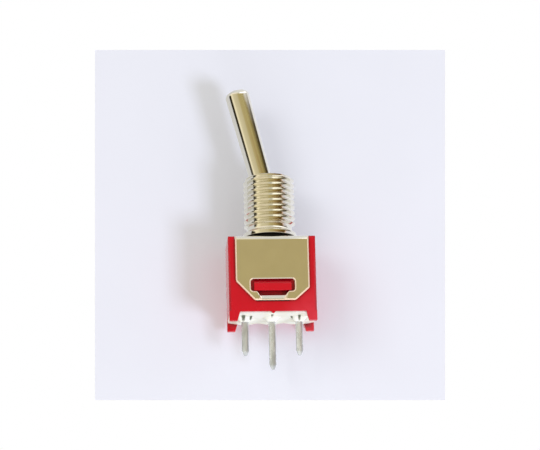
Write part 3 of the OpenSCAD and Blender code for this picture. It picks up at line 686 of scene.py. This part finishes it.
class SWITCH_OT_bushing(bpy.types.Operator):
    """Turns the bushing and cuts its thread"""

    bl_idname = "switch.bushing"
    bl_label = "Bushing"

    def execute(self, context):
        sizes = context.scene.switch_sizes
        pitch = sizes.thread_pitch
        root_r = CREST_R - sizes.thread_depth
        top, low = BUSHING_TOP.z, BUSHING_LOW.z
        rim_r = BUSHING_TOP.x
        neck_r, stake_r, tail_r = 1.893 * MM, 2.043 * MM, 1.758 * MM
        seat_r, throat_r, throat_z, mouth_r = 1.53 * MM, 1.249 * MM, 4.133 * MM, 1.855 * MM
        rim_low, rim_top, edge = 0.35 * MM, 0.73 * MM, 0.03 * MM
        relief_r = root_r - 0.004 * MM
        stake_top, seat_low = -0.3 * MM, PIVOT.z - 1.2 * MM
        flare = rim_r - relief_r
        profile = [(mouth_r, top - edge), (mouth_r + edge * 0.6, top - edge * 0.3),
                   (CREST_R - sizes.mouth_chamfer, top), (CREST_R, top - sizes.mouth_chamfer),
                   (CREST_R, sizes.thread_low + 0.1 * MM), (relief_r, sizes.thread_low)]
        profile += arc((rim_r, rim_top + flare), flare, 180, 262, 8)
        profile += arc((rim_r - edge, rim_top - edge), edge, 60, 0, 2)
        profile += arc((rim_r - edge, rim_low + edge), edge, 0, -90, 3)
        profile += [(neck_r, rim_low), (neck_r, stake_top), (stake_r, stake_top)]
        profile += arc((stake_r - edge, low + edge), edge, 0, -90, 3)
        profile += [(tail_r, low), (seat_r, seat_low), (seat_r, PIVOT.z)]
        rise = math.degrees(math.asin((throat_z - PIVOT.z) / seat_r))
        profile += arc((0, PIVOT.z), seat_r, 0, rise, 8)[1:]
        profile += [(mouth_r - 0.05 * MM, top - 0.2 * MM), profile[0]]
        body = turned("bushing", profile, 144)
        settle(body, 40)

        # the groove's outline, drawn outwards from the root, is driven up the helix and cut away
        groove_low, crest_z = 1.12 * MM, 5.937 * MM
        half = (pitch - sizes.thread_base) / 2
        # how far the outline is drawn out at each step, and its half width there
        outline = ((0.0, half + 0.03 * MM), (0.23 * MM, pitch / 2 - 0.0675 * MM),
                   (0.05 * MM, pitch / 2 - 0.034 * MM), (0.2 * MM, pitch / 2 - 0.034 * MM))
        groove = start(bpy.ops.mesh.primitive_plane_add, "groove", size=1,
                       rotation=(math.radians(90), 0, 0),
                       location=(root_r + 0.015 * MM, 0, groove_low))
        groove.scale = (0.03 * MM, 2 * half, 1)
        bpy.ops.object.transform_apply(location=True, rotation=True, scale=True)
        edit(groove)
        pick(groove, "edges", lambda at, side: at.x > root_r + 0.02 * MM)
        wide = half
        for reach, width in outline:
            if reach:
                bpy.ops.mesh.extrude_edges_move(TRANSFORM_OT_translate={"value": (reach, 0, 0)})
            bpy.ops.transform.resize(value=(1, 1, width / wide),
                                     center_override=(0, 0, groove_low))
            wide = width
        bpy.ops.mesh.select_all(action="SELECT")
        bpy.ops.mesh.dissolve_faces()
        bpy.ops.mesh.delete(type="ONLY_FACE")
        apply_modifier(groove, "SCREW", axis="Z", angle=2 * math.pi, steps=72, render_steps=72,
                       screw_offset=pitch, iterations=math.ceil((top - groove_low) / pitch) + 1,
                       use_merge_vertices=False)
        edit(groove)
        bpy.ops.mesh.select_mode(type="VERT")
        bpy.ops.mesh.select_non_manifold()
        bpy.ops.mesh.fill_holes(sides=0)
        bpy.ops.mesh.select_all(action="SELECT")
        bpy.ops.mesh.normals_make_consistent(inside=False)
        alone(groove)
        groove.rotation_euler.z = 2 * math.pi * (groove_low - crest_z - pitch / 2) / pitch
        bpy.ops.object.transform_apply(location=True, rotation=True, scale=True)
        carve(body, groove)
        settle(body, 35)
        place(body, "housing", "bushing", nickel_finish("nickel_on_brass_threaded", 0, 0.3, 0.12),
              "bushing")
        # painted shade: the narrow recess under the shoulder, which no light reaches, is given a near-black finish
        body.data.materials.append(inner_finish(
            "brass_recess_tarnished", "#0E0B06", "#1A150C", 0.3, 0.5, 0.3))
        for face in body.data.polygons:
            if math.hypot(*face.center.xy) < rim_r - edge and face.center.z < rim_low + edge / 2:
                face.material_index = 1
        return {"FINISHED"}


class SWITCH_OT_lever(bpy.types.Operator):
    """Turns the lever, with its ball and its bored shank, and leans it at its stop"""

    bl_idname = "switch.lever"
    bl_label = "Lever"

    def execute(self, context):
        tip_r = context.scene.switch_sizes.tip_radius
        length, tip_half, root_half, neck_half = 11.95 * MM, 1.15 * MM, 1.04 * MM, 0.95 * MM
        ball_r, shank_r, bore_r, edge = 1.5 * MM, 0.75 * MM, 0.5 * MM, 0.04 * MM
        shank_low, bore_depth = -4.6 * MM, 2.7 * MM
        root_z = (BUSHING_TOP.z - PIVOT.z) / math.cos(REST_TILT)
        profile = [(bore_r, shank_low + bore_depth), (bore_r, shank_low + edge),
                   (bore_r + edge, shank_low)]
        profile += arc((shank_r - edge, shank_low + edge), edge, -90, 0, 3)
        profile += arc((0, 0), ball_r, -56.5, math.degrees(math.acos(neck_half / ball_r)) - 2, 20)
        # above the ball the neck widens slowly
        profile += [(neck_half * 1.01, 1.25 * MM), (neck_half * 1.015, 1.4 * MM)]
        profile += [(root_half, root_z), ((root_half + tip_half) / 2, (root_z + length) / 2)]
        profile += arc((tip_half - tip_r, length - tip_r), tip_r, 0, 90, 12)
        lever = turned("lever", profile)
        bpy.ops.object.mode_set(mode="OBJECT")
        alone(lever)
        bpy.ops.object.transform_apply(location=True, rotation=True, scale=True)
        lever.rotation_euler = (0, -REST_TILT, 0)
        lever.location = PIVOT
        settle(lever, 35)
        place(lever, "lever", "lever", nickel_finish("nickel_on_brass_turned", -REST_TILT, 0.06, 0.1),
              "lever")
        return {"FINISHED"}


class SWITCH_OT_frame(bpy.types.Operator):
    """Rounds the edges of the pressed frame that holds the case to the bushing"""

    bl_idname = "switch.frame"
    bl_label = "Frame"

    def execute(self, context):
        piece = softened("frame_pressing", "frame", context.scene.switch_sizes.sheet_edge,
                         0.021 * MM)
        place(piece, "housing", "frame", pressed_finish(), "frame")
        # painted highlight: the blanked and rounded edges get the bright sheared finish, but not the bends at the
        # top, the window's head, which lies in the lug's shade, or the pressed bar
        piece.data.materials.append(sheared_painted_glint_finish())
        for face in piece.data.polygons:
            at, way = face.center / MM, face.normal
            on_bend = at.z > -0.8 and abs(way.x) < 0.2
            on_head = abs(at.x) < 1.9 and -4.4 < at.z < -3
            on_bar = abs(at.x) < 1.55 and -5.98 < at.z < -5
            slanted = max(abs(part) for part in way) < 0.985
            if slanted and not (on_bend or on_head or on_bar):
                face.material_index = 1
        return {"FINISHED"}


class SWITCH_OT_case(bpy.types.Operator):
    """Rounds the edges of the moulded case"""

    bl_idname = "switch.case"
    bl_label = "Case"

    def execute(self, context):
        rim_z, side_x, front_y, foot_z, bed_x = (
            -7.22 * MM, CASE_TOP.x - 0.05 * MM, 2.5 * MM, -7.2 * MM, 3.48 * MM)

        def outside(at, edge):
            """Only the outside edges, and not the cusps where the bed's corners run out."""
            on_rim = abs(at.z - rim_z) <= 0.003 * MM
            on_outside = (abs(at.x) > side_x or abs(at.y) > front_y
                          or at.z < foot_z or at.z > -0.01 * MM)
            on_cusp = abs(abs(at.x) - bed_x) <= 0.01 * MM and edge.calc_length() <= 0.3 * MM
            return on_outside and not on_rim and not on_cusp

        piece = softened("case_moulding", "case", context.scene.switch_sizes.mould_edge,
                         0.012 * MM, outside)
        place(piece, "housing", "case", moulded_red_finish(), "case")
        return {"FINISHED"}


def rolled_over(pin, middle_x):
    """Rolls both broad faces of a pin's shaft back towards its long edges, as its die leaves them."""
    root_high, root_low, face_y = -7.6 * MM, -7.7 * MM, 0.1 * MM
    edit(pin)
    for reach in (-0.24, -0.18, -0.12, 0.12, 0.18, 0.24):
        bpy.ops.mesh.select_all(action="SELECT")
        bpy.ops.mesh.bisect(plane_co=(middle_x + reach * MM, 0, 0), plane_no=(1, 0, 0))
    # the roll starts inside the resin, between these two cuts
    for root in (root_high, root_low):
        bpy.ops.mesh.select_all(action="SELECT")
        bpy.ops.mesh.bisect(plane_co=(0, 0, root), plane_no=(0, 0, 1))
    # bands across half the face, from and to, and how far each goes back, in millimetres
    bands = ((0.1, 0.15, 0.006), (0.15, 0.21, 0.022), (0.21, 0.245, 0.05),
             (0.245, 0.28, 0.06), (0.28, 0.4, 0.09))
    for near, far, back in bands:
        for side in (-1, 1):
            pick(pin, "verts", lambda at, vert: at.z < (root_high + root_low) / 2
                 and at.y * side > face_y and near * MM < abs(at.x - middle_x) < far * MM)
            bpy.ops.transform.translate(value=(0, -side * back * MM, 0))
    bpy.ops.mesh.customdata_custom_splitnormals_clear()
    alone(pin)
    bpy.ops.object.shade_smooth_by_angle(angle=math.radians(40))


class SWITCH_OT_terminals(bpy.types.Operator):
    """Rounds the edges of the three solder pins and rolls their faces over"""

    bl_idname = "switch.terminals"
    bl_label = "Solder pins"

    def execute(self, context):
        finish, pin_edge = tinned_finish(), 0.08 * MM
        for side, middle_x in (("left", -PIN_PITCH), ("middle", 0), ("right", PIN_PITCH)):
            piece = softened(side + "_pin", side + "_terminal", pin_edge)
            rolled_over(piece, middle_x)
            place(piece, "housing", "terminal", finish, side + "_terminal")
        return {"FINISHED"}


class SWITCH_OT_resin(bpy.types.Operator):
    """Casts the resin that seals the pins"""

    bl_idname = "switch.resin"
    bl_label = "Sealing resin"

    def execute(self, context):
        rim_z, rim_h, well_x, well_y = -7.23 * MM, 0.7 * MM, 3.2 * MM, 1.7 * MM
        half_x, half_y, proud = RESIN_TOP.x, RESIN_TOP.y, 0.09 * MM
        piece = start(bpy.ops.mesh.primitive_grid_add, "resin_fill", x_subdivisions=92,
                      y_subdivisions=54, size=2, location=(0, 0, rim_z - proud))
        piece.scale = (half_x, half_y, 1)
        alone(piece)
        bpy.ops.object.transform_apply(location=True, rotation=True, scale=True)
        edit(piece)
        # it climbs each pin, and hangs a little lower behind the pins and at the ends: places,
        # half sizes, how far round it the surface follows, and how far it is drawn down
        pins = [pin * PIN_PITCH for pin in (-1, 0, 1)]
        mounds = [(x, 0, 0.36 * MM, 0.24 * MM, 0.5 * MM, 0.42 * MM) for x in pins]
        mounds += [(x, half_y, 0.4 * MM, 1.2 * MM, 1.1 * MM, 0.13 * MM) for x in pins]
        mounds += [(x, 0.5 * half_y, 0.3 * MM, 0.5 * MM, 1.0 * MM, 0.1 * MM)
                   for x in (-half_x, half_x)]
        for x, y, wide, deep, reach, pull in mounds:
            pick(piece, "verts", lambda at, vert: abs(at.x - x) < wide and abs(at.y - y) < deep)
            bpy.ops.transform.translate(
                value=(0, 0, -pull), use_proportional_edit=True, proportional_size=reach,
                proportional_edit_falloff="SMOOTH", use_proportional_connected=False)
        # small voids beside the pins, where air has come out along them: (x, y) and half sizes
        voids = [(-2.7 * MM, -0.75 * MM, 0.24 * MM, 0.6 * MM),
                 (-1.98 * MM, -0.5 * MM, 0.15 * MM, 0.5 * MM),
                 (-0.02 * MM, -1.0 * MM, 0.15 * MM, 0.6 * MM),
                 (1.83 * MM, -0.3 * MM, 0.14 * MM, 0.35 * MM),
                 (2.55 * MM, -0.7 * MM, 0.17 * MM, 0.5 * MM),
                 (-2.3 * MM, 0.9 * MM, 0.14 * MM, 0.3 * MM)]
        void_depth = 0.06 * MM
        for x, y, wide, deep in voids:
            pick(piece, "verts", lambda at, vert: math.hypot(
                (at.x - x) / wide, (at.y - y) / deep) < 0.6)
            bpy.ops.transform.translate(
                value=(0, 0, void_depth), use_proportional_edit=True,
                proportional_size=2 * void_depth, proportional_edit_falloff="SPHERE",
                use_proportional_connected=False)
        # between the feet it has run out over the rim
        run_out, between_feet = 0.25 * MM, 1.75 * MM
        for side in (-1, 1):
            pick(piece, "edges", lambda at, edge: at.x * side > half_x - 0.01 * MM
                 and abs(at.y) < between_feet and edge.is_boundary)
            bpy.ops.mesh.extrude_edges_move(
                TRANSFORM_OT_translate={"value": (side * run_out, 0, 0.03 * MM)})
        pick(piece, "edges", lambda at, edge: edge.is_boundary)
        bpy.ops.mesh.extrude_edges_move(TRANSFORM_OT_translate={"value": (0, 0, rim_h)})
        bpy.ops.mesh.extrude_edges_move(TRANSFORM_OT_translate={"value": (0, 0, 0)})
        bpy.ops.transform.resize(value=(well_x / half_x, well_y / half_y, 1),
                                 center_override=(0, 0, rim_z))
        bpy.ops.mesh.extrude_edges_move(
            TRANSFORM_OT_translate={"value": (0, 0, RESIN_TOP.z - rim_z - rim_h)})
        bpy.ops.mesh.fill_holes(sides=0)
        settle(piece, 50)
        # the voids are marked for the finish to paint shade in them
        grime = piece.data.attributes.new("grime", "FLOAT", "POINT")
        for vert in piece.data.vertices:
            grime.data[vert.index].value = max(
                max(0, 1 - math.hypot((vert.co.x - x) / wide, (vert.co.y - y) / deep) ** 2)
                for x, y, wide, deep in voids)
        place(piece, "housing", "resin", resin_finish(), "sealing_resin")
        return {"FINISHED"}


class SWITCH_OT_contacts(bpy.types.Operator):
    """Gives the inner contacts, spring and plunger their own finishes"""

    bl_idname = "switch.contacts"
    bl_label = "Inner contacts"

    def execute(self, context):
        # spring and pin steel: cold drawn, grey, with a satin surface
        steel = inner_finish("spring_steel_drawn", "#8C8A86", "#C4C2BC", 1.0, 0.28, 0.15)
        # acetal: a milky engineering plastic with a waxy gloss
        acetal = inner_finish("natural_acetal_moulded", "#E2DCC8", "#F2EEDF", 0.0, 0.38, 0.4)
        # phosphor bronze strip: warm, faintly streaked from rolling
        bronze = inner_finish("phosphor_bronze_rolled", "#B98A52", "#D9AE72", 1.0, 0.25, 0.25)
        # fine silver: pale and soft, with a dulled contact face
        silver = inner_finish("fine_silver_pressed", "#CFCFCB", "#EDEDE8", 1.0, 0.24, 0.12)
        for name, finish in (
                ("cross_pin", steel), ("plunger", acetal),
                ("rocking_contact", bronze), ("rocker_pad_left", silver),
                ("rocker_pad_right", silver), ("fixed_pad_left", silver),
                ("fixed_pad_right", silver)):
            node = frame["nodes"][name]
            for material_slot in node.material_slots:
                material_slot.material = finish
        # the coil is a copy of the spring, in the steel finish, set in place of the CAD spring
        coil = bpy.data.objects.new("plunger_coil", frame["nodes"]["plunger_spring"].data.copy())
        context.scene.collection.objects.link(coil)
        settle(coil, 60)
        coil.data.materials.clear()
        coil.data.materials.append(steel)
        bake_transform(coil)
        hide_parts("plunger_spring")
        return {"FINISHED"}


class SWITCH_PT_panel(bpy.types.Panel):
    """Lists the switch's pieces, sizes and finishes"""

    bl_label = "Toggle switch"
    bl_idname = "SWITCH_PT_panel"
    bl_space_type = "VIEW_3D"
    bl_region_type = "UI"
    bl_category = "Switch"

    def draw(self, context):
        for operator in OPERATORS:
            self.layout.operator(operator.bl_idname)
        for group in (context.scene.switch_sizes, context.scene.switch_finishes):
            for key in group.bl_rna.properties.keys():
                if key not in {"rna_type", "name"}:
                    self.layout.prop(group, key)


OPERATORS = (SWITCH_OT_stage, SWITCH_OT_bushing, SWITCH_OT_lever, SWITCH_OT_frame,
             SWITCH_OT_case, SWITCH_OT_terminals, SWITCH_OT_resin, SWITCH_OT_contacts)
CLASSES = (SwitchSizes, SwitchFinishes) + OPERATORS + (SWITCH_PT_panel,)


def register():
    for cls in CLASSES:
        bpy.utils.register_class(cls)
    bpy.types.Scene.switch_sizes = bpy.props.PointerProperty(type=SwitchSizes)
    bpy.types.Scene.switch_finishes = bpy.props.PointerProperty(type=SwitchFinishes)


def unregister():
    del bpy.types.Scene.switch_sizes
    del bpy.types.Scene.switch_finishes
    for cls in reversed(CLASSES):
        bpy.utils.unregister_class(cls)


def main():
    register()
    for operator in OPERATORS:
        getattr(bpy.ops.switch, operator.bl_idname.split(".")[1])()


if __name__ == "__main__":
    main()
